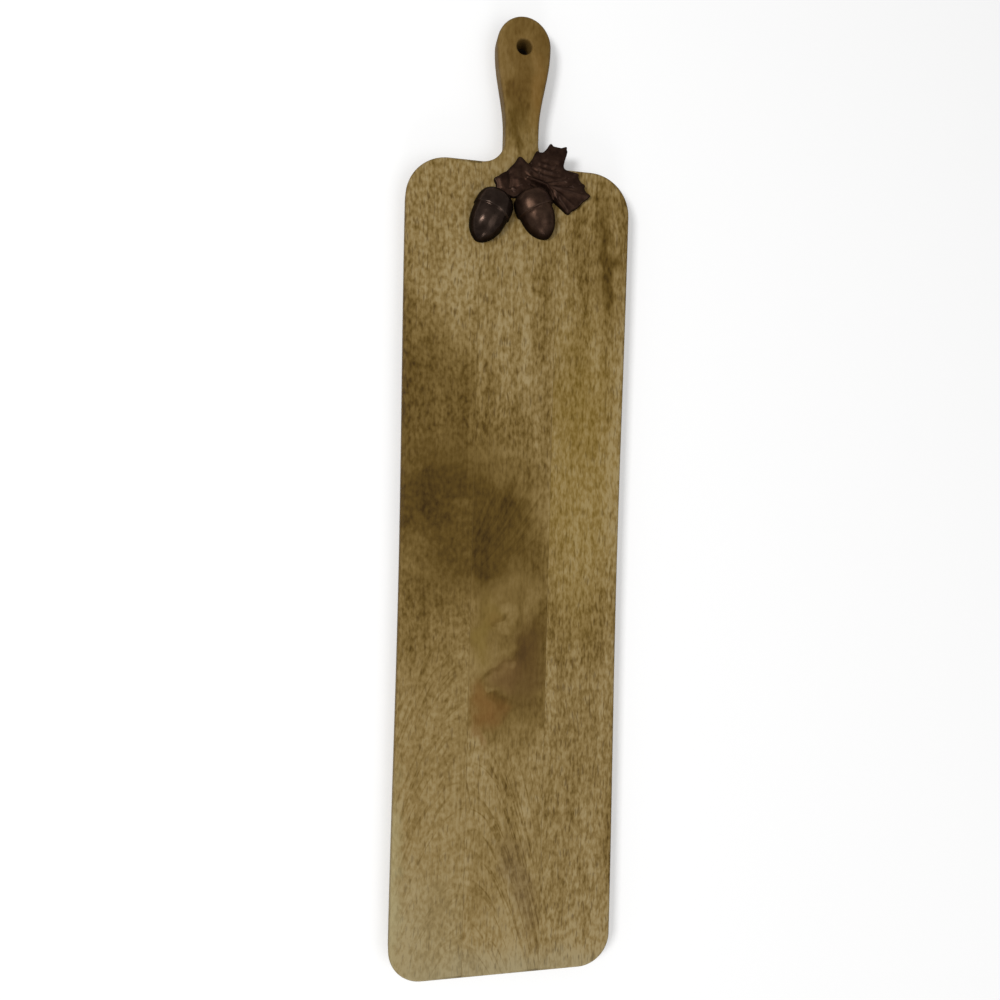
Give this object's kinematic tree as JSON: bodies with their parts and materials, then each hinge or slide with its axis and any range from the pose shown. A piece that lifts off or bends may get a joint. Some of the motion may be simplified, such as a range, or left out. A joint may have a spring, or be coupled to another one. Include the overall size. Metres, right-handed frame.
{
  "type": "paddle serving board",
  "caption": "Long paddle serving board of edge-glued mango wood with a waisted handle, a hanging hole and a cast oak leaf and acorn ornament at the neck.",
  "frame": {"origin": "under the middle of the overall length, on the back face that the board rests on", "axes": "+Y along the board towards the handle, +Z out of the face with the ornament, +X to the right of the handle as the face is looked at"},
  "size_m": [0.181, 0.762, 0.0331],
  "materials": {
    "mango_wood": "oiled, satin, open grain with dark pores",
    "wood_glue": "cured glue film, sanded flush",
    "dark_bronze": "cast metal with a dark bronze patina, satin",
    "screw_steel": "zinc plated, satin"
  },
  "bodies": {
    "root": {"left_stave": "mango_wood", "centre_stave": "mango_wood", "right_stave": "mango_wood", "left_glue_line": "wood_glue", "right_glue_line": "wood_glue", "oak_leaf": "dark_bronze", "left_acorn": "dark_bronze", "right_acorn": "dark_bronze", "acorn_screws": "screw_steel", "leaf_screws": "screw_steel"}
  },
  "joints": []
}
